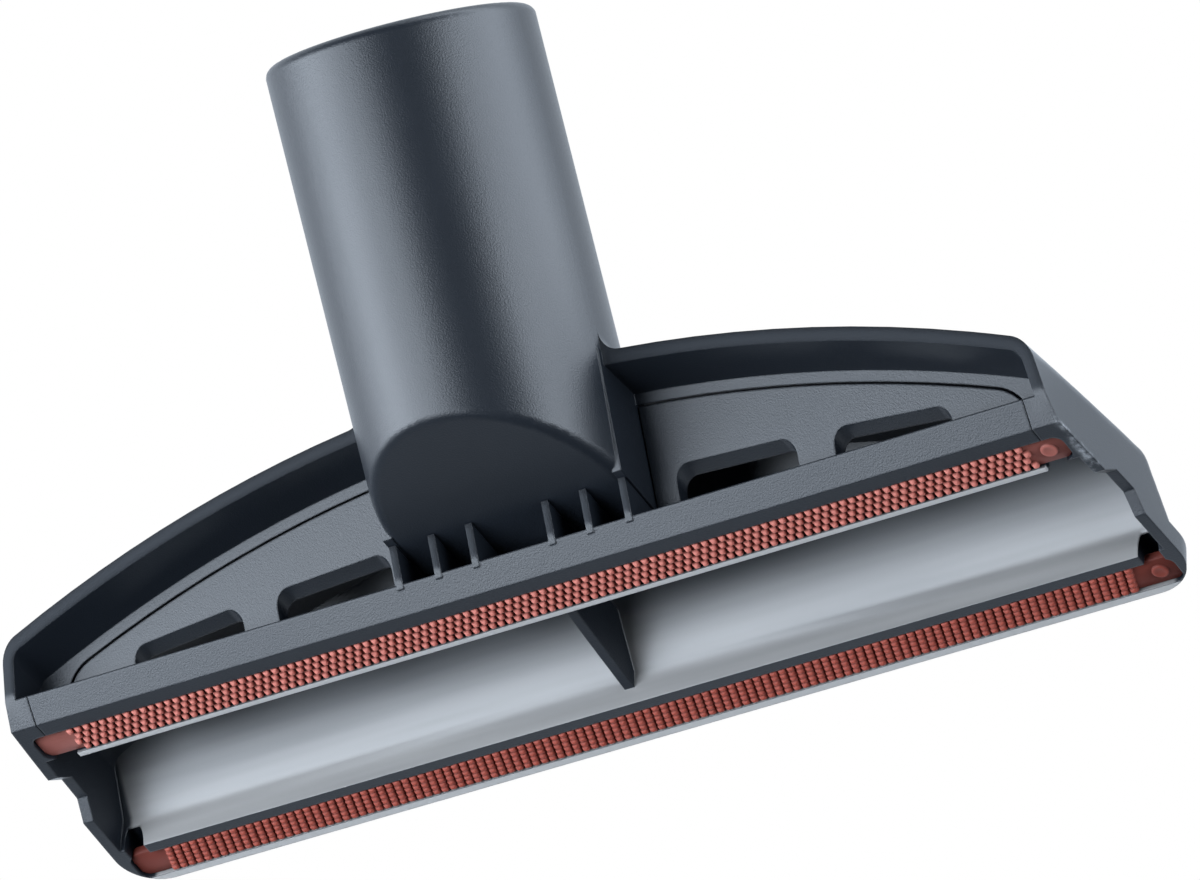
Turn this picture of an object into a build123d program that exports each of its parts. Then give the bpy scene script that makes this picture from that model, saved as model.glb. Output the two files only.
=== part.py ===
"""Furniture nozzle for a vacuum cleaner: a moulded hood with a round connection tube, a rear insert
that carries the sole rail and the slotted deck, and two toothed lint strips.

Sizes are in millimetres. The nozzle is drawn in its sole frame: x runs across, y forward from the rear
lip of the mouth and z up from the sole. It lies on its back, on the rim of the tube's open end and on
the front edge of the hood, so that the sole and the deck face up.
"""
import os
from math import acos, atan2, cos, hypot, radians, sin, sqrt, tan

from build123d import *

# Connection tube
socket_diameter = 35.4
socket_depth = 44.0
tube_wall = 2.3
stop_step = 1.2
tube_lean = 50.0
tube_length = 83.7
axis_foot = -2.7
tube_edge_radius = 1.5
bore_edge_radius = 0.6

# Closed lower end of the tube
tongue_height = 8.0
tongue_thickness = 2.0
tongue_edge_radius = 2.2
junction_radius = 3.0

# Hood
hood_width = 180.0
hood_rear_width = 158.0
hood_rear = -68.0
side_bulge = 2.2
end_draft = 6.0
rim_height = 24.0
roof_rise = 7.0
arch_radius = 250.0
hood_wall = 1.8
shoulder_radius = 4.0
front_edge = 31.0
front_corner_radius = 6.5
band_height = 4.3
band_edge_radius = 1.0
nose_foot = 24.4
nose_angle = 49.5
nose_radius = 3.6
nose_wall = 2.6

# Rear opening: the rim and the deck lean back by the same angle
rear_lean = 33.2
rim_setback = 8.9
deck_wall = 2.6
ledge_width = 1.5
ledge_end = 81.2
ledge_corner_radius = 7.0
parting_gap = 0.3

# Mouth
lip_rear = 0.3
lip_thickness = 0.9
lip_half_length = 81.2
mouth_front = 22.7
front_wall_rise = 5.0
front_wall_draft = 14.0

# Sole rail
rail_foot = -7.5
rail_height = 3.0
rail_half_length = 83.5
seat_gap = 0.2

# Lint strips
strip_width = 5.2
strip_fit = 0.1
groove_depth = 1.9
strip_base = 0.7
tooth_height = 0.8
tooth_pitch = 1.42
tooth_ramp = 0.8
tooth_land = 0.45
rear_rows = 4
front_rows = 5
row_gap = 0.3
rear_toothed_length = 161.0
front_toothed_length = 164.6
rear_strip_length = 172.6
front_strip_length = 176.0
front_strip_rear = 24.5
tab_corner_radius = 1.6
pip_diameter = 2.6
pip_height = 0.4
pip_inset = 3.0

# Ribs between the rail and the closed end of the tube
rib_thickness = 1.1
rib_places = (6.4, 12.7, 19.2)
web_thickness = 1.5
web_overhang = 1.2

# Centre rib across the mouth
centre_rib_thickness = 1.6
centre_rib_rear_height = 4.4
centre_rib_front_height = 2.4
centre_rib_top = 12.0

# Slots in the deck
slot_spans = ((24.0, 43.7), (49.7, 68.7))
slot_bottom = 5.4
slot_crown = 13.2
slot_arch_radius = 840.0
slot_radius = 2.3

# Notch in each end wall
notch_start = 4.1
notch_ramp = 3.0
notch_end = 14.8
notch_depth = 2.4

# Cut-outs at the ends of the front groove
corner_notch_start = 83.8
corner_notch_width = 3.4
corner_notch_height = 4.0

# Values worked out from the sizes above
tube_radius = socket_diameter / 2 + tube_wall
duct_radius = socket_diameter / 2 - stop_step
lean_slope = tan(radians(rear_lean))
nose_slope = tan(radians(nose_angle))
deck_run = deck_wall / cos(radians(rear_lean))
axis_y = -cos(radians(tube_lean))
axis_z = sin(radians(tube_lean))
end_y = axis_foot + tube_length * axis_y
end_z = tube_length * axis_z
rise_slope = tan(radians(roof_rise))
above = rim_height + tube_radius
beyond = hood_width

# Rest: the rounded rim of the tube and the rounded edge of the front band touch one surface
rim_y = end_y + (tube_radius - tube_edge_radius) * axis_z - tube_edge_radius * axis_y
rim_z = end_z - (tube_radius - tube_edge_radius) * axis_y - tube_edge_radius * axis_z
band_y = front_edge - band_edge_radius
band_z = band_height - band_edge_radius
rest_span = hypot(band_y - rim_y, band_z - rim_z)
rest_angle = atan2(band_z - rim_z, band_y - rim_y) + acos((tube_edge_radius - band_edge_radius) / rest_span)
down_y = cos(rest_angle)
down_z = sin(rest_angle)
rest_height = band_y * down_y + band_z * down_z + band_edge_radius
axis_along = axis_z * down_y - axis_y * down_z
axis_tilt = abs(axis_y * down_y + axis_z * down_z)
tube_reach = end_z * down_y - end_y * down_z
tube_reach += (tube_radius - tube_edge_radius) * axis_tilt + tube_edge_radius * (1 - axis_along)
front_reach = front_edge * down_z
rest_shift = (front_reach - tube_reach) / 2
sole = Plane(origin=(0, rest_shift, rest_height), x_dir=(1, 0, 0), z_dir=(0, down_y, -down_z))


def placed(plane):
    """A plane of the sole frame, in the frame in which the nozzle rests."""
    return Plane(sole.location * plane.location)


plan = placed(Plane.XY)
side = placed(Plane.YZ)
cross = placed(Plane.XZ)
deck_normal = (0, -cos(radians(rear_lean)), -sin(radians(rear_lean)))
deck = placed(Plane(origin=(0, 0, 0), x_dir=(1, 0, 0), z_dir=deck_normal))
tube_end = placed(Plane(origin=(0, end_y, end_z), x_dir=(0, -axis_z, axis_y), z_dir=(0, axis_y, axis_z)))


def spot(shape):
    """Centre of a face or an edge, in the sole frame."""
    return sole.to_local_coords(shape.center())


def arch_drop(x, inset=0.0):
    """How far the arch of the roof lies below the crown of its outer face, on that face or inside it."""
    return arch_radius - sqrt((arch_radius - inset)**2 - x**2)


def crown_height(place):
    """Height of the roof's crown above the sole, which rises forward from the rim."""
    return rim_height + (place + rim_setback + lean_slope * rim_height) * rise_slope


def deck_reach(x, inset):
    """Distance up the deck to where it meets the arch of the roof, or a copy of the arch inside it."""
    height = (crown_height(0) - arch_drop(x, inset)) / (1 + rise_slope * lean_slope)
    return height / cos(radians(rear_lean))


def slot_top(x):
    """Height of the top of a slot above the sole, which falls to the ends less than the roof does."""
    return slot_crown - slot_arch_radius + sqrt(slot_arch_radius**2 - x**2)


def leaning(height, setback):
    """Point at a height on a line that leans back like the deck, set back from it along the sole."""
    return (-setback - lean_slope * height, height)


def on_nose(height, wall=0.0):
    """Point at a height on the slope of the nose, or on its inner face behind a wall."""
    return (nose_foot - wall / sin(radians(nose_angle)) - (height - band_height) / nose_slope, height)


def hood_section(place, half_width, inset, bottom):
    """Arched section of the hood at one place along the sole: drafted ends, round shoulders, arched roof."""
    foot = half_width - inset
    draft = tan(radians(end_draft))
    crown = crown_height(place)
    corner_x = foot - (crown - arch_drop(foot, inset)) * draft
    corner_z = crown - arch_drop(corner_x, inset)
    with BuildSketch(cross.offset(-place)) as section:
        with BuildLine():
            Polyline((-corner_x, corner_z), (-foot - bottom * draft, -bottom),
                     (foot + bottom * draft, -bottom), (corner_x, corner_z))
            ThreePointArc((corner_x, corner_z), (0, crown - inset), (-corner_x, corner_z))
        face = make_face()
        fillet(face.vertices().sort_by(Axis.Y)[-2:], shoulder_radius - inset)
    return section


def hood_body(inset, bottom):
    """Sections of the arched body from behind the tube to the front edge, widening to the front."""
    middle = (hood_rear + front_edge) / 2
    half_rear = hood_rear_width / 2
    half_front = hood_width / 2
    return [
        hood_section(hood_rear, half_rear, inset, bottom),
        hood_section(middle, (half_rear + half_front) / 2 + side_bulge, inset, bottom),
        hood_section(front_edge - inset, half_front, inset, bottom),
    ]


# Arched body of the hood, which runs on past the tube, and the same body one wall smaller
outer_sections = hood_body(0.0, 0.0)
inner_sections = hood_body(hood_wall, band_height)
with BuildPart() as hood_form:
    loft([section.sketch for section in outer_sections])
with BuildPart() as hood_core:
    loft([section.sketch for section in inner_sections])

# Round tube, closed at its lower end by a flat tongue parallel to the sole
with BuildPart() as tube:
    with BuildSketch(tube_end):
        Circle(tube_radius)
    extrude(amount=-2 * tube_length)
    with BuildSketch(side):
        Polygon((-beyond, tongue_height), (beyond, tongue_height), (beyond, beyond), (-beyond, beyond),
                align=None)
    extrude(amount=beyond, both=True, mode=Mode.INTERSECT)
    fillet(tube.edges().filter_by(GeomType.ELLIPSE), tongue_edge_radius)
    fillet(tube.edges().sort_by(Axis(tube_end.origin, tube_end.z_dir))[-1], tube_edge_radius)

# Hood with its sloping nose and the tube blended into its roof, cut off at the leaning rim
with BuildPart() as hood:
    add(hood_form.part)
    with BuildSketch(side):
        Polygon((-beyond, 0), (-beyond, above), on_nose(above), on_nose(band_height), (mouth_front, 0),
                align=None)
    extrude(amount=beyond, both=True, mode=Mode.INTERSECT)
    nose_face = [face for face in hood.faces() if spot(face).Y > 0 and spot(face).Z > band_height][0]
    fillet([edge for edge in nose_face.edges() if spot(edge).Z > band_height + band_edge_radius], nose_radius)
    hood_alone = hood.part
    add(tube.part)
    fillet(new_edges(hood_alone, tube.part, combined=hood.part), junction_radius)
    with BuildSketch(side):
        Polygon((rail_foot, 0), leaning(rail_height, rim_setback), leaning(beyond, rim_setback),
                (beyond, beyond), (beyond, 0), align=None)
    extrude(amount=beyond, both=True, mode=Mode.INTERSECT)

# Low band round the front, which holds the front lint strip
with BuildPart() as band:
    add(hood_form.part)
    with BuildSketch(plan):
        with BuildLine():
            Polyline((-beyond, 0), (-beyond, front_edge), (beyond, front_edge), (beyond, 0), close=True)
        make_face()
    extrude(amount=band_height, mode=Mode.INTERSECT)
    front_ends = [edge for edge in band.edges() if spot(edge).Y > band_y]
    uprights = [edge for edge in front_ends if abs(spot(edge).X) > lip_half_length]
    fillet(uprights, front_corner_radius)
    rim_edges = [edge for edge in band.edges() if spot(edge).Y > mouth_front and spot(edge).Z > band_z]
    fillet(rim_edges, band_edge_radius)

# Space inside the hood, open to the rear and to the sole
front_wall_top = (mouth_front - front_wall_rise * tan(radians(front_wall_draft)), front_wall_rise)
front_wall_foot = (mouth_front + band_height * tan(radians(front_wall_draft)), -band_height)
nose_inside = on_nose(above, nose_wall)
with BuildPart() as cavity:
    add(hood_core.part)
    with BuildSketch(side):
        Polygon((-beyond, -band_height), (-beyond, above), nose_inside, front_wall_top, front_wall_foot,
                align=None)
    extrude(amount=beyond, both=True, mode=Mode.INTERSECT)

# The part of that space in front of the deck, between the mouth and the tube
with BuildPart() as chamber:
    add(cavity.part)
    with BuildSketch(side):
        Polygon(leaning(-band_height, -deck_run), leaning(above, -deck_run), (beyond, above),
                (beyond, -band_height), align=None)
    extrude(amount=beyond, both=True, mode=Mode.INTERSECT)

# Air way: a socket for the cleaner's wand, a stop and a duct that ends on the tongue
with BuildPart() as duct:
    with BuildSketch(tube_end):
        Circle(duct_radius)
    extrude(amount=-2 * tube_length)
    with BuildSketch(side):
        Polygon((-beyond, tongue_height + tongue_thickness), (beyond, tongue_height + tongue_thickness),
                (beyond, beyond), (-beyond, beyond), align=None)
    extrude(amount=tube_radius, both=True, mode=Mode.INTERSECT)
    with BuildSketch(tube_end):
        Circle(socket_diameter / 2)
    extrude(amount=-socket_depth)

# Ledge round the deck, flush with its rear face
opening_top = deck_reach(0, hood_wall + ledge_width)
opening_side = deck_reach(ledge_end, hood_wall + ledge_width)


def deck_outline(shrink):
    """Outline of the opening in the ledge, drawn on the deck and shrunk all round by a clearance."""
    end = ledge_end - shrink
    with BuildSketch(deck) as outline:
        with BuildLine():
            Polyline((-end, opening_side - shrink), (-end, -band_height), (end, -band_height),
                     (end, opening_side - shrink))
            ThreePointArc((end, opening_side - shrink), (0, opening_top - shrink),
                          (-end, opening_side - shrink))
        face = make_face()
        fillet(face.vertices().sort_by(Axis.Y)[-2:], ledge_corner_radius)
    return outline


ledge_opening = deck_outline(0.0)
with BuildPart() as ledge:
    add(hood_form.part)
    with BuildSketch(side):
        foot = rail_height + seat_gap
        Polygon(leaning(foot, 0), leaning(above, 0), leaning(above, -deck_run), leaning(foot, -deck_run),
                align=None)
    extrude(amount=beyond, both=True, mode=Mode.INTERSECT)
    add(ledge_opening.sketch)
    extrude(amount=2 * deck_wall, both=True, mode=Mode.SUBTRACT)

# Flat webs that carry the sides of the tube on to the deck
with BuildPart() as webs:
    add(hood_form.part)
    with BuildSketch(side):
        Polygon(leaning(tongue_height, rim_setback + web_overhang), leaning(above, rim_setback + web_overhang),
                leaning(above, -deck_run), leaning(tongue_height, -deck_run), align=None)
    extrude(amount=tube_radius, both=True, mode=Mode.INTERSECT)
    with BuildSketch(side):
        Rectangle(2 * beyond, 2 * beyond)
    extrude(amount=tube_radius - web_thickness, both=True, mode=Mode.SUBTRACT)

# Ends of the sole rail, moulded with the hood
with BuildPart() as rail_ends:
    add(hood_form.part)
    with BuildSketch(side):
        Polygon((rail_foot, 0), leaning(rail_height, rim_setback), (lip_rear, rail_height), (lip_rear, 0),
                align=None)
    extrude(amount=beyond, both=True, mode=Mode.INTERSECT)
    with BuildSketch(side):
        Rectangle(2 * beyond, 2 * beyond)
    extrude(amount=rail_half_length, both=True, mode=Mode.SUBTRACT)

# Thin rib across the middle of the mouth
with BuildPart() as centre_rib:
    add(chamber.part)
    with BuildSketch(side):
        Polygon((leaning(centre_rib_rear_height, -deck_run)[0] + seat_gap, centre_rib_rear_height),
                (leaning(centre_rib_top, -deck_run)[0] + seat_gap, centre_rib_top),
                (beyond, centre_rib_top), (beyond, centre_rib_front_height),
                (mouth_front, centre_rib_front_height), align=None)
    extrude(amount=centre_rib_thickness / 2, both=True, mode=Mode.INTERSECT)


def strip_groove(rear, length):
    """Cutter for the groove of a lint strip, from the sole up to the floor of the groove."""
    with BuildPart() as groove:
        with BuildSketch(plan):
            with Locations((0, rear + strip_width / 2)):
                RectangleRounded(length, strip_width, tab_corner_radius)
        extrude(amount=groove_depth)
    return groove


rear_strip_rear = lip_rear - strip_width
rear_groove = strip_groove(rear_strip_rear, rear_strip_length)
front_groove = strip_groove(front_strip_rear, front_strip_length)

# Housing: hood, band and tube in one moulding
with BuildPart() as housing:
    add(hood.part)
    add(band.part)
    add(tube.part)
    add(cavity.part, mode=Mode.SUBTRACT)
    add(tube.part)
    add(ledge.part)
    add(webs.part)
    add(rail_ends.part)
    add(chamber.part, mode=Mode.SUBTRACT)
    add(duct.part, mode=Mode.SUBTRACT)
    add(centre_rib.part)
    add(rear_groove.part, mode=Mode.SUBTRACT)
    add(front_groove.part, mode=Mode.SUBTRACT)
    # Shallow notch across the foot of each end wall
    with BuildSketch(side):
        Polygon((notch_start, 0), (notch_start + notch_ramp, notch_depth),
                (notch_end - notch_ramp, notch_depth), (notch_end, 0), align=None)
    extrude(amount=beyond, both=True, mode=Mode.SUBTRACT)
    # Cut-outs beside the tabs of the front strip
    with BuildSketch(plan):
        with Locations((corner_notch_start + corner_notch_width / 2, front_strip_rear),
                       (-corner_notch_start - corner_notch_width / 2, front_strip_rear)):
            RectangleRounded(corner_notch_width, strip_width, corner_notch_width / 4)
    extrude(amount=corner_notch_height, mode=Mode.SUBTRACT)
    bore_edge = housing.edges().filter_by(GeomType.CIRCLE).sort_by(Axis(tube_end.origin, tube_end.z_dir))
    fillet([edge for edge in bore_edge if abs(edge.radius - socket_diameter / 2) < tube_edge_radius / 2][-1:],
           bore_edge_radius)

rib_foot = (groove_depth + rail_height) / 2
rib_top = tongue_height - seat_gap

# Rear insert: leaning deck, sole rail, lip of the mouth and ribs below the tube, in one moulding
insert_outline = deck_outline(parting_gap)
with BuildPart() as rear_insert:
    add(insert_outline.sketch)
    extrude(amount=-deck_wall)
    with BuildSketch(side):
        Polygon((-beyond, rail_height / 2), (beyond, rail_height / 2), (beyond, beyond), (-beyond, beyond),
                align=None)
    extrude(amount=beyond, both=True, mode=Mode.INTERSECT)
    # Gap for the tube and its webs
    with BuildSketch(side):
        Polygon((-beyond, tongue_height - seat_gap), (beyond, tongue_height - seat_gap), (beyond, beyond),
                (-beyond, beyond), align=None)
    extrude(amount=tube_radius + parting_gap, both=True, mode=Mode.SUBTRACT)
    # Slots, cut along the sole
    for first, last in slot_spans:
        with BuildSketch(cross) as slots:
            Polygon((first, slot_bottom), (last, slot_bottom), (last, slot_top(last)), (first, slot_top(first)),
                    align=None)
            fillet(slots.vertices(), slot_radius)
            mirror(about=Plane.YZ)
        extrude(amount=beyond, both=True, mode=Mode.SUBTRACT)
    # Rail with its bevelled rear face and the lip in front of the strip
    with BuildSketch(side):
        Polygon((rail_foot, 0), leaning(rail_height, rim_setback), leaning(rail_height, -deck_run),
                (lip_rear + lip_thickness, 0), align=None)
    extrude(amount=rail_half_length - parting_gap / 2, both=True)
    add(rear_groove.part, mode=Mode.SUBTRACT)
    # The lip stops short of the tabs
    with BuildSketch(plan):
        with Locations((lip_half_length + beyond / 2, lip_rear + beyond / 2),
                       (-lip_half_length - beyond / 2, lip_rear + beyond / 2)):
            Rectangle(beyond, beyond)
    extrude(amount=rail_height, mode=Mode.SUBTRACT)
    # Ribs that close the pockets under the tongue
    for place in rib_places:
        for sign in (-1, 1):
            with BuildSketch(side.offset(sign * place)):
                Polygon(leaning(rib_foot, rim_setback), leaning(rib_top, rim_setback),
                        leaning(rib_top, -deck_run / 2), leaning(rib_foot, -deck_run / 2), align=None)
            extrude(amount=rib_thickness / 2, both=True)


def lint_strip(rear, length, toothed, rows, shifted):
    """Lint strip in its groove: a base with a tab at each end and rows of leaning teeth."""
    width = strip_width - 2 * strip_fit
    floor = groove_depth
    row_step = width / rows
    teeth = int(toothed / tooth_pitch)
    with BuildPart() as strip:
        with BuildSketch(plan.offset(floor)):
            with Locations((0, rear + strip_width / 2)):
                RectangleRounded(length - 2 * strip_fit, width, tab_corner_radius - strip_fit)
        extrude(amount=-strip_base)
        for row in range(rows):
            shift = tooth_pitch / 2 * (row % 2) if shifted else 0
            start = -toothed / 2 + shift
            points = [(start, floor - strip_base / 2)]
            for tooth in range(teeth):
                x = start + tooth * tooth_pitch
                points.append((x, floor - strip_base))
                points.append((x + tooth_ramp, floor - strip_base - tooth_height))
                points.append((x + tooth_ramp + tooth_land, floor - strip_base - tooth_height))
            points.append((start + teeth * tooth_pitch, floor - strip_base))
            points.append((start + teeth * tooth_pitch, floor - strip_base / 2))
            row_rear = rear + strip_fit + row * row_step
            with BuildSketch(cross.offset(-row_rear - row_gap / 2)):
                Polygon(*points, align=None)
        extrude(amount=-(row_step - row_gap))
        # Round pip on the right-hand tab
        with BuildSketch(plan.offset(floor - strip_base)):
            with Locations((length / 2 - pip_inset, rear + strip_width / 2)):
                Circle(pip_diameter / 2)
        extrude(amount=-pip_height)
    return strip


rear_lint_strip = lint_strip(rear_strip_rear, rear_strip_length, rear_toothed_length, rear_rows, True)
front_lint_strip = lint_strip(front_strip_rear, front_strip_length, front_toothed_length, front_rows, False)

os.makedirs("parts", exist_ok=True)
housing.part.label = "housing"
export_step(housing.part, "parts/housing.step")
rear_insert.part.label = "rear_insert"
export_step(rear_insert.part, "parts/rear_insert.step")
rear_lint_strip.part.label = "rear_lint_strip"
export_step(rear_lint_strip.part, "parts/rear_lint_strip.step")
front_lint_strip.part.label = "front_lint_strip"
export_step(front_lint_strip.part, "parts/front_lint_strip.step")
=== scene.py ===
"""Looks of a furniture nozzle for a vacuum cleaner: grained plastic on the housing and its insert,
moulded lint strips, and a white studio seen from the photograph's angle.

Lengths of the nozzle are in millimetres in its sole frame: x across, y forward from the rear lip of the
mouth, z up from the sole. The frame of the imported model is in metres.
"""
from math import cos, pi, sin

import bpy
import numpy as np
from bpy.props import BoolProperty, FloatProperty, FloatVectorProperty, IntProperty, PointerProperty
from mathutils import Matrix, Vector


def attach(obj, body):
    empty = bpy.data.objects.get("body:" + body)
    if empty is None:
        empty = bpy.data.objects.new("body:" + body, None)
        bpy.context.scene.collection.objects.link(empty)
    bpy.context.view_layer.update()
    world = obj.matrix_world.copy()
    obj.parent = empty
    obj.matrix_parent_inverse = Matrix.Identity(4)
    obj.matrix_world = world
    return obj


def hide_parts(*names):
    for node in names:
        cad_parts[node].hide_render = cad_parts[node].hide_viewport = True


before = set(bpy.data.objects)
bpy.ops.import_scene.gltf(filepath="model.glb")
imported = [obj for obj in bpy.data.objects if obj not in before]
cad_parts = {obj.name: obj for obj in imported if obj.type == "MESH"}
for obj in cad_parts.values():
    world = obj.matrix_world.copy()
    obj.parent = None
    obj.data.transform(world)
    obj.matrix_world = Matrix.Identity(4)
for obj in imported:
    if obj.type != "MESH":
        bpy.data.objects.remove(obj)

bl_info = {
    "name": "Furniture nozzle looks",
    "version": (1, 0, 0),
    "blender": (4, 5, 0),
    "location": "View3D > Sidebar > Nozzle",
    "description": "Plastic, lint strips and studio for a vacuum cleaner's furniture nozzle",
    "category": "Object",
}

BODY = "root"
MILLIMETRE = 0.001

# Place of the sole in the frame, as the nozzle lies on its back
SOLE_ORIGIN = Vector((0.0, -0.0325212, 0.0246654))
SOLE_ACROSS = Vector((1.0, 0.0, 0.0))
SOLE_FORWARD = Vector((0.0, -0.702629, -0.711556))
SOLE_UP = Vector((0.0, 0.711556, -0.702629))

# The rim leans back from the sole like the deck, in millimetres of the sole frame
RIM_LEAN = 0.6544
RIM_SETBACK = 8.9
RIM_REACH = 0.3
RIM_FADE = 0.2

# Where a mark on the surface begins and where it is full, in millimetres of the sole frame
RIM_FOOT = (3.2, 4.2)
MOUTH_FORWARD = (2.0, 6.0)
MOUTH_ENDS = (86.5, 85.5)
# Heights in the mouth over which the front wall's painted reflection gives way to painted shade under the
# lip
SHEEN_TO_SHADE_DEPTH = (15.0, 4.0)
# The next three set where the lips get their painted highlight
LIP_FACE = (0.5, 0.3)
REAR_LIP_ENDS = (82.0, 81.4)
FRONT_LIP = (29.7, 29.9)
SCUFFED_WALL = (86.5, 88.0)
SCUFFED_EDGE = (0.9, 0.1)
# Heights over which a tooth goes from painted shade at its foot to its lighter tip
TOOTH_TIPS = (0.5, -0.1)

# Spans of marks along the sole frame's forward axis, and the length over which they fade
REAR_LIP = (0.4, 1.15)
REAR_LIP_FADE = 0.15
SCUFFED_SPAN = (-12.0, 4.0)
SCUFFED_FADE = 4.0

# How far a surface faces the rear where the mark begins and where it is full
FACING_MOUTH = (0.35, 0.6)
FACING_RIM = (0.4, 0.7)

# Grain and roughness of the plastic, and how the mouth and the rim change them
GRAIN_DEPTH = 0.6
SHALLOWER_IN_MOUTH = 0.5
PLASTIC_ROUGHNESS = 0.35
ROUGHER_BY_GRAIN = 0.1
SMOOTHER_IN_MOUTH = 0.08
ROUGHER_AT_RIM = 0.4

# What reflections see of the floor, in metres of the frame: a card beside the tube and a dark front
CARD_SPAN = (0.07, 0.6)
CARD_FADE = 0.04
CARD_REAR = (-0.02, 0.02)
FLOOR_FRONT = (-0.25, -0.06)
FLOOR_DARK = 0.3
FLOOR_PALER = 1.2

SCUFF_COLOUR = (0.62, 0.64, 0.66, 1.0)
COOL_WHITE = (0.80, 0.89, 1.0)
WHITE = (1.0, 1.0, 1.0, 1.0)

# Camera of the photograph
CAMERA_PLACE = Vector((0.7842, -0.0454, 1.5504))
CAMERA_RIGHT = Vector((0.8549, -0.2794, -0.4370))
CAMERA_UP = Vector((0.2583, 0.9599, -0.1085))
CAMERA_BACK = Vector((0.4499, -0.0201, 0.8928))


def from_sole(points):
    """Points of the sole frame in millimetres, as an array of places in the frame in metres."""
    points = np.asarray(points, float) * MILLIMETRE
    axes = np.array((SOLE_ACROSS, SOLE_FORWARD, SOLE_UP))
    return np.array(SOLE_ORIGIN) + points @ axes


class NozzleRearStrip(bpy.types.PropertyGroup):
    """Sizes of the rear lint strip."""

    rear: FloatProperty(name="Rear edge", description="Place of its rear edge, mm", default=-4.8)
    length: FloatProperty(name="Length", description="Length over the tabs, mm", default=172.4)
    width: FloatProperty(name="Width", description="Width of the base, mm", default=5.0)
    toothed: FloatProperty(name="Toothed length", description="Length of the rows, mm", default=161.0)
    pitch: FloatProperty(name="Pitch", description="Distance from tooth to tooth, mm", default=1.42)
    rows: IntProperty(name="Rows", description="Rows of teeth", default=4)
    staggered: BoolProperty(name="Staggered", description="Alternate rows half a pitch on", default=True)
    floor: FloatProperty(name="Floor", description="Height of the groove's floor, mm", default=1.9)
    base: FloatProperty(name="Base", description="Thickness of the base, mm", default=1.35)
    height: FloatProperty(name="Tooth height", description="Height of a tooth, mm", default=0.9)
    slant: FloatProperty(name="Slant", description="Shift from row to row, mm", default=0.0)
    lean: FloatProperty(name="Lean", description="Shift of a tooth's tip along the mouth, mm", default=0.28)
    fullness: FloatProperty(name="Fullness", description="Width of a tooth's foot in its cell", default=0.78)
    taper: FloatProperty(name="Taper", description="Width of a tooth's tip against its foot", default=0.5)


class NozzleFrontStrip(bpy.types.PropertyGroup):
    """Sizes of the front lint strip."""

    rear: FloatProperty(name="Rear edge", description="Place of its rear edge, mm", default=24.6)
    length: FloatProperty(name="Length", description="Length over the tabs, mm", default=175.8)
    width: FloatProperty(name="Width", description="Width of the base, mm", default=5.0)
    toothed: FloatProperty(name="Toothed length", description="Length of the rows, mm", default=164.6)
    pitch: FloatProperty(name="Pitch", description="Distance from stud to stud, mm", default=1.42)
    rows: IntProperty(name="Rows", description="Rows of studs", default=5)
    staggered: BoolProperty(name="Staggered", description="Alternate rows half a pitch on", default=False)
    floor: FloatProperty(name="Floor", description="Height of the groove's floor, mm", default=1.9)
    base: FloatProperty(name="Base", description="Thickness of the base, mm", default=1.35)
    height: FloatProperty(name="Stud height", description="Height of a stud, mm", default=0.75)
    slant: FloatProperty(name="Slant", description="Shift from row to row, mm", default=-0.3)
    lean: FloatProperty(name="Lean", description="Shift of a stud's tip along the mouth, mm", default=0.0)
    fullness: FloatProperty(name="Fullness", description="Width of a stud's foot in its cell", default=0.93)
    taper: FloatProperty(name="Taper", description="Width of a stud's tip against its foot", default=0.6)


class NozzleFinish(bpy.types.PropertyGroup):
    """Colours and surface of the plastics."""

    plastic: FloatVectorProperty(name="Plastic", description="Colour of the plastic", subtype="COLOR",
                                 default=(0.010, 0.013, 0.018))
    rear_red: FloatVectorProperty(name="Rear strip", description="Its colour", subtype="COLOR",
                                  default=(0.42, 0.125, 0.095))
    front_red: FloatVectorProperty(name="Front strip", description="Its colour", subtype="COLOR",
                                   default=(0.26, 0.047, 0.029))
    # Painted sheen colour: a lighter colour on the mouth's front wall that is a painted reflection of the
    # softbox, and, lighter still, the painted highlight on the lips
    painted_sheen: FloatVectorProperty(name="Painted sheen", description="Colour in the mouth", subtype="COLOR",
                                  default=(0.29, 0.28, 0.27))
    grain: FloatProperty(name="Grain", description="Size of the grain", unit="LENGTH", default=0.00024)
    edge: FloatProperty(name="Edge", description="Radius of soft edges", unit="LENGTH", default=0.00035)
    rim: FloatProperty(name="Rim", description="Further rounding of the rim", unit="LENGTH", default=0.0011)


class NozzleStage(bpy.types.PropertyGroup):
    """Camera and lights."""

    lens: FloatProperty(name="Lens", description="Focal length on a 36 mm sensor, mm", default=359.3)
    key: FloatProperty(name="Key", description="Power of the softbox above on the left", default=12.8)
    left: FloatProperty(name="Left", description="Power of the softbox low on the left", default=10.0)
    card: FloatProperty(name="Card", description="Brightness of the card beside the tube", default=6.0)
    front: FloatProperty(name="Front", description="Power of the softbox before the sole", default=0.5)
    side: FloatProperty(name="Side", description="Power of the softbox on the right", default=22.0)
    fill: FloatProperty(name="Fill", description="Strength of the room's light", default=0.05)


def put(tree, socket, value):
    """Set an input to a constant, or link it to a socket."""
    if isinstance(value, bpy.types.NodeSocket):
        tree.links.new(value, socket)
    else:
        socket.default_value = value


def node(tree, kind, label, **inputs):
    """A shader node with its inputs set to constants or linked to sockets."""
    made = tree.nodes.new(kind)
    made.label = label
    for name, value in inputs.items():
        put(tree, made.inputs[name], value)
    return made


def placed(tree, group, **inputs):
    """Outputs of a node group that is placed in a material with its inputs set."""
    made = tree.nodes.new("ShaderNodeGroup")
    made.node_tree = group
    made.label = group.name
    for name, value in inputs.items():
        put(tree, made.inputs[name], value)
    return made.outputs


def arithmetic(tree, operation, first, second=0.0):
    """Output of a Math node on two values or sockets."""
    made = tree.nodes.new("ShaderNodeMath")
    made.operation = operation
    put(tree, made.inputs[0], first)
    put(tree, made.inputs[1], second)
    return made.outputs[0]


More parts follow.
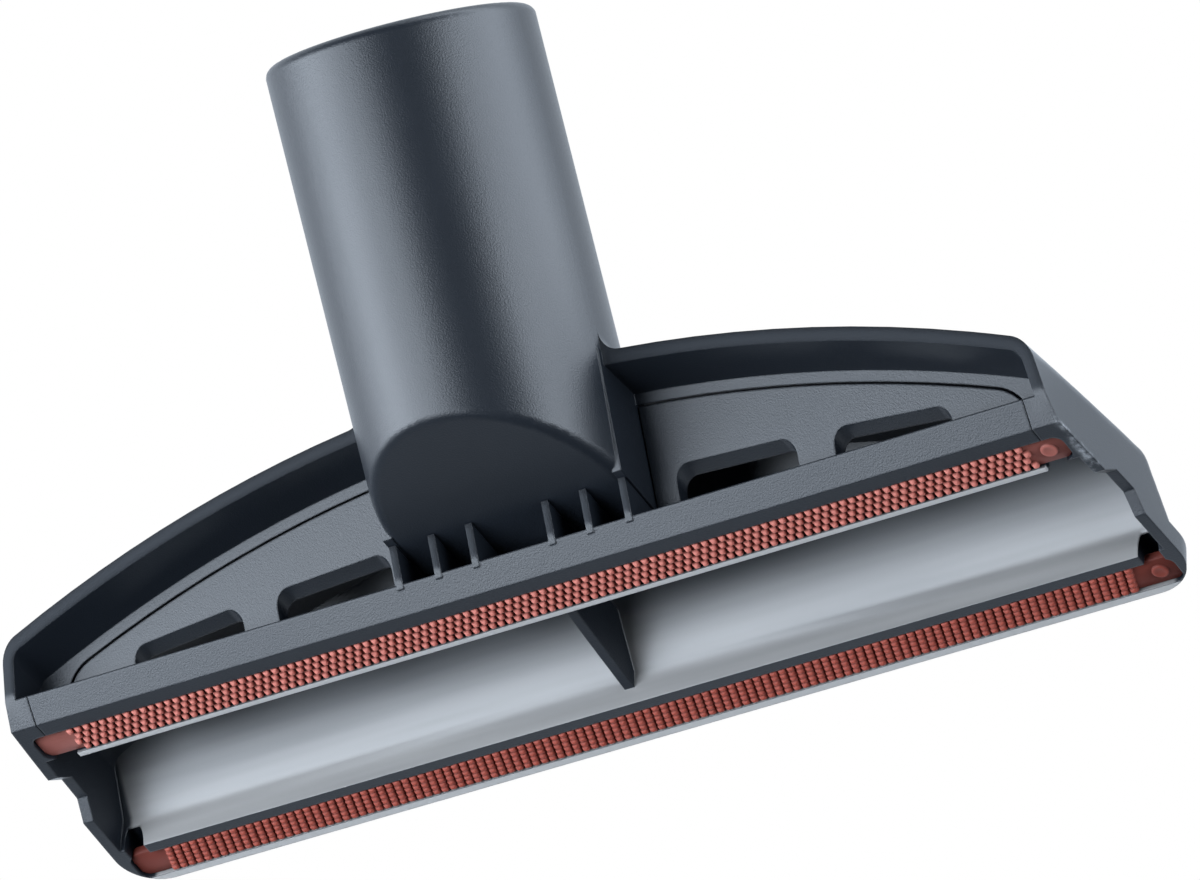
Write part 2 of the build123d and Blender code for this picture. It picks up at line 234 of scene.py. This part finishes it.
def product(tree, first, *others):
    """Output of several sockets multiplied."""
    for other in others:
        first = arithmetic(tree, "MULTIPLY", first, other)
    return first


def offset_by(tree, start, value, share):
    """Output that is a start plus a share of a value."""
    return arithmetic(tree, "ADD", start, arithmetic(tree, "MULTIPLY", value, share))


def blend(tree, label, factor, first, second):
    """Colour between two colours or sockets."""
    made = tree.nodes.new("ShaderNodeMix")
    made.label = label
    made.data_type = "RGBA"
    put(tree, made.inputs["Factor"], factor)
    put(tree, made.inputs["A"], first)
    put(tree, made.inputs["B"], second)
    return made.outputs["Result"]


def ramp(tree, value, low, high):
    """Output that rises smoothly from 0 to 1 as the value goes from low to high."""
    made = tree.nodes.new("ShaderNodeMapRange")
    made.interpolation_type = "SMOOTHSTEP"
    tree.links.new(value, made.inputs["Value"])
    made.inputs["From Min"].default_value = low
    made.inputs["From Max"].default_value = high
    return made.outputs["Result"]


def between(tree, value, low, high, soft):
    """Output that is 1 while the value lies between low and high, with soft ends."""
    return product(tree, ramp(tree, value, low - soft, low), ramp(tree, value, high + soft, high))


def grain_group():
    """Node group: a fine moulded grain, as a tone and as a normal with softened edges."""
    name = "Moulded grain"
    if name in bpy.data.node_groups:
        return bpy.data.node_groups[name]
    tree = bpy.data.node_groups.new(name, "ShaderNodeTree")
    for label, default in (("Size", 0.0003), ("Depth", 0.3), ("Edge", 0.0003)):
        socket = tree.interface.new_socket(label, in_out="INPUT", socket_type="NodeSocketFloat")
        socket.default_value = default
    tree.interface.new_socket("Tone", in_out="OUTPUT", socket_type="NodeSocketFloat")
    tree.interface.new_socket("Normal", in_out="OUTPUT", socket_type="NodeSocketVector")
    start = tree.nodes.new("NodeGroupInput")
    end = tree.nodes.new("NodeGroupOutput")
    place = tree.nodes.new("ShaderNodeTexCoord").outputs["Object"]
    scale = arithmetic(tree, "DIVIDE", 1.0, start.outputs["Size"])
    fine = node(tree, "ShaderNodeTexNoise", "Grain", Vector=place, Scale=scale, Detail=1.0, Roughness=0.6)
    coarse = node(tree, "ShaderNodeTexNoise", "Flow marks", Vector=place, Scale=38.0, Detail=2.0)
    soft = node(tree, "ShaderNodeBevel", "Soft edges", Radius=start.outputs["Edge"])
    bump = node(tree, "ShaderNodeBump", "Grain relief", Strength=start.outputs["Depth"], Distance=0.000055,
                Height=fine.outputs["Fac"], Normal=soft.outputs["Normal"])
    both = arithmetic(tree, "ADD", fine.outputs["Fac"], coarse.outputs["Fac"])
    tree.links.new(arithmetic(tree, "MULTIPLY", both, 0.5), end.inputs["Tone"])
    tree.links.new(bump.outputs["Normal"], end.inputs["Normal"])
    return tree


def sole_group():
    """Node group: place and facing of a surface in the sole frame, place in millimetres."""
    name = "Sole frame"
    if name in bpy.data.node_groups:
        return bpy.data.node_groups[name]
    tree = bpy.data.node_groups.new(name, "ShaderNodeTree")
    end = tree.nodes.new("NodeGroupOutput")
    surface = tree.nodes.new("ShaderNodeTexCoord").outputs
    local = node(tree, "ShaderNodeVectorMath", "From the lip", Vector=surface["Object"])
    local.operation = "SUBTRACT"
    local.inputs[1].default_value = SOLE_ORIGIN
    place = local.outputs[0]
    for label, vector, axis in (
        ("Across", place, SOLE_ACROSS / MILLIMETRE),
        ("Forward", place, SOLE_FORWARD / MILLIMETRE),
        ("Height", place, SOLE_UP / MILLIMETRE),
        ("Facing rear", surface["Normal"], -SOLE_FORWARD),
    ):
        tree.interface.new_socket(label, in_out="OUTPUT", socket_type="NodeSocketFloat")
        along = tree.nodes.new("ShaderNodeVectorMath")
        along.operation = "DOT_PRODUCT"
        tree.links.new(vector, along.inputs[0])
        along.inputs[1].default_value = axis
        tree.links.new(along.outputs["Value"], end.inputs[label])
    return tree


def new_material(name):
    """A node material with its node tree and its shader."""
    material = bpy.data.materials.new(name)
    material.use_nodes = True
    return material, material.node_tree, material.node_tree.nodes["Principled BSDF"]


def shade(colour, factor):
    """A colour made lighter or darker, with alpha."""
    return tuple(min(1.0, channel * factor) for channel in colour) + (1.0,)


def mouth_mask(tree, sole):
    """1 on the smooth front wall of the mouth, which faces the rear."""
    across = arithmetic(tree, "ABSOLUTE", sole["Across"])
    return product(tree, ramp(tree, sole["Facing rear"], *FACING_MOUTH),
                   ramp(tree, sole["Forward"], *MOUTH_FORWARD), ramp(tree, across, *MOUTH_ENDS))


def painted_sheen_mask(tree, sole, inside, place):
    """1 where the front wall of the mouth gets a lighter colour as a painted reflection, fading into painted
    shade deeper under the lip, with faint lines along it.
    """
    stretch = node(tree, "ShaderNodeMapping", "Along the mouth", Vector=place, Scale=(9.0, 160.0, 160.0))
    lines = node(tree, "ShaderNodeTexNoise", "Lines", Vector=stretch.outputs["Vector"], Scale=1.0,
                 Detail=3.0)
    return product(tree, inside, ramp(tree, sole["Height"], *SHEEN_TO_SHADE_DEPTH),
                   ramp(tree, lines.outputs["Fac"], -0.2, 0.75))


def rim_mask(tree, sole):
    """1 on the leaning rim of the hood."""
    behind = offset_by(tree, arithmetic(tree, "ADD", sole["Forward"], RIM_SETBACK), sole["Height"], RIM_LEAN)
    return product(tree, between(tree, behind, -RIM_REACH, RIM_REACH, RIM_FADE),
                   ramp(tree, sole["Height"], *RIM_FOOT), ramp(tree, sole["Facing rear"], *FACING_RIM))


def lip_highlight_mask(tree, sole):
    """1 on the sole edges of the two lips of the mouth, whose lighter colour is a painted highlight."""
    across = arithmetic(tree, "ABSOLUTE", sole["Across"])
    rear_lip = product(tree, between(tree, sole["Forward"], *REAR_LIP, REAR_LIP_FADE),
                       ramp(tree, across, *REAR_LIP_ENDS))
    front_lip = ramp(tree, sole["Forward"], *FRONT_LIP)
    either = arithmetic(tree, "MAXIMUM", rear_lip, front_lip)
    return product(tree, either, ramp(tree, sole["Height"], *LIP_FACE))


def scuff_mask(tree, sole, place):
    """1 in the whitish scuffs on the sole edge of the right-hand end wall."""
    specks = node(tree, "ShaderNodeTexNoise", "Scuffs", Vector=place, Scale=420.0, Detail=4.0, Roughness=0.7)
    return product(tree, ramp(tree, sole["Across"], *SCUFFED_WALL),
                   ramp(tree, sole["Height"], *SCUFFED_EDGE),
                   between(tree, sole["Forward"], *SCUFFED_SPAN, SCUFFED_FADE),
                   ramp(tree, specks.outputs["Fac"], 0.4, 0.9))


def plastic_material(finish):
    """Anthracite plastic with a fine grain, smoother in the mouth with a painted reflection and painted
    shade on its front wall, painted highlights on the lips, dull at the rim, scuffed at one end.
    """
    material, tree, shader = new_material("anthracite_plastic")
    place = tree.nodes.new("ShaderNodeTexCoord").outputs["Object"]
    sole = placed(tree, sole_group())
    inside = mouth_mask(tree, sole)
    rim = rim_mask(tree, sole)
    grain = placed(tree, grain_group(), Size=finish.grain,
                   Depth=offset_by(tree, GRAIN_DEPTH, inside, -SHALLOWER_IN_MOUTH),
                   Edge=offset_by(tree, finish.edge, rim, finish.rim))

    colour = blend(tree, "Tone", grain["Tone"], shade(finish.plastic, 0.7), shade(finish.plastic, 1.3))
    # Painted reflection on the mouth's front wall, with painted shade deeper under the lip
    sheen = painted_sheen_mask(tree, sole, inside, place)
    colour = blend(tree, "Painted sheen on the mouth wall", sheen, colour, shade(finish.painted_sheen, 1.0))
    # Painted highlight on the sole edges of the lips
    colour = blend(tree, "Painted highlight on the lips", lip_highlight_mask(tree, sole), colour, shade(finish.painted_sheen, 1.5))
    colour = blend(tree, "Scuffs", scuff_mask(tree, sole, place), colour, SCUFF_COLOUR)
    tree.links.new(colour, shader.inputs["Base Color"])

    rough = offset_by(tree, PLASTIC_ROUGHNESS, grain["Tone"], ROUGHER_BY_GRAIN)
    rough = offset_by(tree, rough, inside, -SMOOTHER_IN_MOUTH)
    rough = offset_by(tree, rough, rim, ROUGHER_AT_RIM)
    tree.links.new(rough, shader.inputs["Roughness"])
    tree.links.new(grain["Normal"], shader.inputs["Normal"])
    return material


def strip_material(name, colour, finish):
    """Soft red plastic of a lint strip, darker towards the feet of the teeth as painted shade between them,
    lighter at their tips.
    """
    material, tree, shader = new_material(name)
    sole = placed(tree, sole_group())
    grain = placed(tree, grain_group(), Size=finish.grain, Depth=0.2, Edge=finish.edge / 4)
    # Painted shade: the teeth are darker towards their feet, between them
    tips = ramp(tree, sole["Height"], *TOOTH_TIPS)
    tones = blend(tree, "Painted shade between the teeth", tips, shade(colour, 0.5), shade(colour, 1.15))
    tree.links.new(tones, shader.inputs["Base Color"])
    tree.links.new(grain["Normal"], shader.inputs["Normal"])
    shader.inputs["Roughness"].default_value = 0.6
    shader.inputs["Specular IOR Level"].default_value = 0.3
    return material


def skin(rings, count):
    """Faces between rings of points that follow each other, closed over the last ring."""
    faces = []
    for low in range(0, (rings - 1) * count, count):
        for step in range(count):
            after = (step + 1) % count
            faces.append((low + step, low + count + step, low + count + after, low + after))
    faces.append(tuple((rings - 1) * count + step for step in reversed(range(count))))
    return faces


def ring(half_x, half_y, count, squareness=0.45):
    """Points of a rounded square about the origin."""
    points = []
    for step in range(count):
        turn = 2 * pi * (step + 0.5) / count
        x, y = cos(turn), sin(turn)
        points.append((half_x * abs(x)**squareness * (1 if x > 0 else -1),
                       half_y * abs(y)**squareness * (1 if y > 0 else -1)))
    return points


def stud(half_x, half_y, height, lean, taper, count=12):
    """Vertices and faces of one tooth that points down from its foot: stacked rings closed at the tip."""
    levels = ((0.0, 1.0), (0.35, 0.97 + 0.03 * taper), (0.75, 0.35 + 0.65 * taper), (0.93, 0.8 * taper),
              (1.0, 0.45 * taper))
    vertices = [(x + lean * share, y, -height * share)
                for share, size in levels for x, y in ring(half_x * size, half_y * size, count)]
    return np.array(vertices), skin(len(levels), count)


def slab(length, width, top, bottom, corner=1.5, soft=0.12, steps=6):
    """Vertices and faces of a flat bar with rounded corners in plan and a softened lower edge."""
    outline = []
    for quarter, (sx, sy) in enumerate(((1, 1), (-1, 1), (-1, -1), (1, -1))):
        for step in range(steps + 1):
            turn = (quarter + step / steps) * pi / 2
            outline.append((sx * (length / 2 - corner) + corner * cos(turn),
                            sy * (width / 2 - corner) + corner * sin(turn)))
    levels = ((top, 0.0), (bottom + soft, 0.0), (bottom, soft))
    vertices = [(x * (1 - 2 * inset / length), y * (1 - 2 * inset / width), height)
                for height, inset in levels for x, y in outline]
    return np.array(vertices), skin(len(levels), len(outline)) + [tuple(range(len(outline)))]


def pip(count=24):
    """Vertices and faces of the round pip with a sunk middle."""
    levels = ((1.3, 0.0), (1.25, 0.28), (1.05, 0.4), (0.7, 0.3), (0.3, 0.26))
    turns = [2 * pi * step / count for step in range(count)]
    vertices = [(radius * cos(turn), radius * sin(turn), -rise) for radius, rise in levels for turn in turns]
    return np.array(vertices), skin(len(levels), count)


def tooth_places(size):
    """Places of the teeth from the middle of the strip, row by row."""
    row_step = size.width / size.rows
    for row in range(size.rows):
        shift = size.slant * (row - (size.rows - 1) / 2)
        if size.staggered and row % 2:
            shift += size.pitch / 2
        for tooth in range(int(size.toothed / size.pitch)):
            yield ((tooth + 0.5) * size.pitch - size.toothed / 2 + shift,
                   (row + 0.5) * row_step - size.width / 2)


def strip_object(name, replaced, size, material, pip_inset=2.9, row_filling=0.08, crisp_angle=0.9):
    """One lint strip in its groove: base with tabs, rows of teeth and the pip on the right-hand tab."""
    under = size.floor - size.base
    forms = [(slab(size.length, size.width, size.floor, under), (0.0, 0.0, 0.0))]
    tooth = stud(size.pitch * size.fullness / 2,
                 size.width / size.rows * min(1.0, size.fullness + row_filling) / 2,
                 size.height, size.lean, size.taper)
    forms += [(tooth, (x, y, under)) for x, y in tooth_places(size)]
    forms.append((pip(), (size.length / 2 - pip_inset, 0.0, under)))

    middle = np.array((0.0, size.rear + size.width / 2, 0.0))
    points, faces, count = [], [], 0
    for (vertices, pattern), place in forms:
        points.append(vertices + middle + place)
        faces += [tuple(corner + count for corner in face) for face in pattern]
        count += len(vertices)
    mesh = bpy.data.meshes.new(name)
    mesh.from_pydata(from_sole(np.vstack(points)).tolist(), [], faces)
    mesh.validate()
    mesh.polygons.foreach_set("use_smooth", [True] * len(mesh.polygons))
    mesh.materials.append(material)
    made = bpy.data.objects.new(name, mesh)
    bpy.context.scene.collection.objects.link(made)
    split = made.modifiers.new("Crisp edges", "EDGE_SPLIT")
    split.split_angle = crisp_angle
    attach(made, BODY)
    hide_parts(replaced)


def even_shading(piece, weld=0.00001, crisp_angle=0.5):
    """Join the faces of a moulding, so that its shading breaks at real edges only."""
    joined = piece.modifiers.new("Joined faces", "WELD")
    joined.merge_threshold = weld
    crisp = piece.modifiers.new("Crisp edges", "EDGE_SPLIT")
    crisp.split_angle = crisp_angle
    piece.modifiers.new("Even shading", "WEIGHTED_NORMAL")


class NOZZLE_OT_plastic(bpy.types.Operator):
    """Give the housing and its rear insert their grained plastic"""

    bl_idname = "nozzle.plastic"
    bl_label = "Dress the plastic"

    def execute(self, context):
        material = plastic_material(context.scene.nozzle_finish)
        for name in ("housing", "rear_insert"):
            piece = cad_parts[name]
            piece.data.materials.clear()
            piece.data.materials.append(material)
            even_shading(piece)
        return {"FINISHED"}


class NOZZLE_OT_rear_strip(bpy.types.Operator):
    """Build the rear lint strip with its staggered, leaning teeth"""

    bl_idname = "nozzle.rear_strip"
    bl_label = "Rear lint strip"

    def execute(self, context):
        finish = context.scene.nozzle_finish
        material = strip_material("rear_red", tuple(finish.rear_red), finish)
        strip_object("rear_teeth", "rear_lint_strip", context.scene.nozzle_rear_strip, material)
        return {"FINISHED"}


class NOZZLE_OT_front_strip(bpy.types.Operator):
    """Build the front lint strip with its slanted grid of studs"""

    bl_idname = "nozzle.front_strip"
    bl_label = "Front lint strip"

    def execute(self, context):
        finish = context.scene.nozzle_finish
        material = strip_material("front_red", tuple(finish.front_red), finish)
        strip_object("front_studs", "front_lint_strip", context.scene.nozzle_front_strip, material)
        return {"FINISHED"}


def softbox(name, power, direction, distance, width, height):
    """A rectangular area light of cool white that faces the nozzle."""
    data = bpy.data.lights.new(name, "AREA")
    data.shape = "RECTANGLE"
    data.size = width
    data.size_y = height
    data.energy = power
    data.color = COOL_WHITE
    made = bpy.data.objects.new(name, data)
    bpy.context.scene.collection.objects.link(made)
    direction = Vector(direction).normalized()
    made.location = direction * distance
    made.rotation_euler = direction.to_track_quat("Z", "Y").to_euler()


def ray_switch(tree, ray, seen, unseen):
    """Mix of two shaders: the first for one kind of ray, the second for all others."""
    path = tree.nodes.new("ShaderNodeLightPath")
    mix = tree.nodes.new("ShaderNodeMixShader")
    tree.links.new(path.outputs[ray], mix.inputs[0])
    tree.links.new(unseen, mix.inputs[1])
    tree.links.new(seen, mix.inputs[2])
    return mix.outputs[0]


def floor_material(brightness):
    """White floor that reflections see as a pale card, bright to the right of the tube, dark in front."""
    material, tree, shader = new_material("pale_floor")
    shader.inputs["Base Color"].default_value = (0.7, 0.72, 0.75, 1.0)
    shader.inputs["Roughness"].default_value = 0.9
    surface = tree.nodes.new("ShaderNodeTexCoord").outputs["Object"]
    place = node(tree, "ShaderNodeSeparateXYZ", "Place", Vector=surface).outputs
    beside = product(tree, between(tree, place["X"], *CARD_SPAN, CARD_FADE),
                     ramp(tree, place["Y"], *CARD_REAR))
    strength = offset_by(tree, FLOOR_DARK, ramp(tree, place["Y"], *FLOOR_FRONT), FLOOR_PALER)
    strength = offset_by(tree, strength, beside, brightness)
    card = node(tree, "ShaderNodeEmission", "Card", Color=(*COOL_WHITE, 1.0), Strength=strength)
    white = node(tree, "ShaderNodeEmission", "White", Color=WHITE, Strength=1.0)
    unseen = ray_switch(tree, "Is Glossy Ray", card.outputs[0], shader.outputs[0])
    output = tree.nodes["Material Output"]
    tree.links.new(ray_switch(tree, "Is Camera Ray", white.outputs[0], unseen), output.inputs["Surface"])
    return material


def lay_floor(scene, brightness, reach=8.0):
    """The square floor that the nozzle lies on."""
    mesh = bpy.data.meshes.new("floor")
    corners = [(-reach, -reach, 0), (reach, -reach, 0), (reach, reach, 0), (-reach, reach, 0)]
    mesh.from_pydata(corners, [], [(0, 1, 2, 3)])
    mesh.materials.append(floor_material(brightness))
    floor = bpy.data.objects.new("floor", mesh)
    scene.collection.objects.link(floor)


def light_room(scene, fill):
    """White backdrop for the camera and a faint light from all around."""
    scene.world = scene.world or bpy.data.worlds.new("studio")
    scene.world.use_nodes = True
    tree = scene.world.node_tree
    tree.nodes.clear()
    white = node(tree, "ShaderNodeBackground", "White", Color=WHITE, Strength=1.0)
    room = node(tree, "ShaderNodeBackground", "Room", Color=(0.80, 0.90, 1.0, 1.0), Strength=fill)
    output = tree.nodes.new("ShaderNodeOutputWorld")
    seen = ray_switch(tree, "Is Camera Ray", white.outputs[0], room.outputs[0])
    tree.links.new(seen, output.inputs["Surface"])


def place_camera(scene, lens):
    """The photograph's camera."""
    data = bpy.data.cameras.new("camera")
    data.lens = lens
    data.sensor_width = 36.0
    data.clip_end = 50.0
    camera = bpy.data.objects.new("camera", data)
    scene.collection.objects.link(camera)
    axes = Matrix((CAMERA_RIGHT, CAMERA_UP, CAMERA_BACK)).transposed()
    camera.matrix_world = Matrix.Translation(CAMERA_PLACE) @ axes.to_4x4()
    scene.camera = camera


class NOZZLE_OT_stage(bpy.types.Operator):
    """Set up the white floor, the softboxes and the photograph's camera"""

    bl_idname = "nozzle.stage"
    bl_label = "Studio"

    def execute(self, context):
        scene = context.scene
        settings = scene.nozzle_stage
        scene.view_settings.view_transform = "Standard"
        lay_floor(scene, settings.card)
        light_room(scene, settings.fill)
        softbox("key", settings.key, direction=(-0.56, 0.16, 0.81), distance=0.8, width=0.6, height=0.9)
        softbox("left", settings.left, direction=(-0.88, 0.10, 0.42), distance=1.3, width=0.5, height=1.0)
        softbox("front", settings.front, direction=(-0.45, -0.85, 0.25), distance=1.2, width=0.8, height=0.5)
        softbox("side", settings.side, direction=(0.99, 0.05, 0.12), distance=1.2, width=0.6, height=1.2)
        place_camera(scene, settings.lens)
        return {"FINISHED"}


class NOZZLE_PT_panel(bpy.types.Panel):
    """Sidebar panel with the steps that dress the nozzle"""

    bl_label = "Furniture nozzle"
    bl_idname = "NOZZLE_PT_panel"
    bl_space_type = "VIEW_3D"
    bl_region_type = "UI"
    bl_category = "Nozzle"

    def draw(self, context):
        for step in ("plastic", "rear_strip", "front_strip", "stage"):
            self.layout.operator("nozzle." + step)


SETTINGS = {
    "nozzle_rear_strip": NozzleRearStrip,
    "nozzle_front_strip": NozzleFrontStrip,
    "nozzle_finish": NozzleFinish,
    "nozzle_stage": NozzleStage,
}
CLASSES = (
    *SETTINGS.values(), NOZZLE_OT_plastic, NOZZLE_OT_rear_strip, NOZZLE_OT_front_strip, NOZZLE_OT_stage,
    NOZZLE_PT_panel,
)


def register():
    for made in CLASSES:
        bpy.utils.register_class(made)
    for name, group in SETTINGS.items():
        setattr(bpy.types.Scene, name, PointerProperty(type=group))


def unregister():
    for name in SETTINGS:
        delattr(bpy.types.Scene, name)
    for made in reversed(CLASSES):
        bpy.utils.unregister_class(made)


def main():
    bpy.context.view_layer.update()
    register()
    bpy.ops.nozzle.plastic()
    bpy.ops.nozzle.rear_strip()
    bpy.ops.nozzle.front_strip()
    bpy.ops.nozzle.stage()
    bpy.context.view_layer.update()


if __name__ == "__main__":
    main()
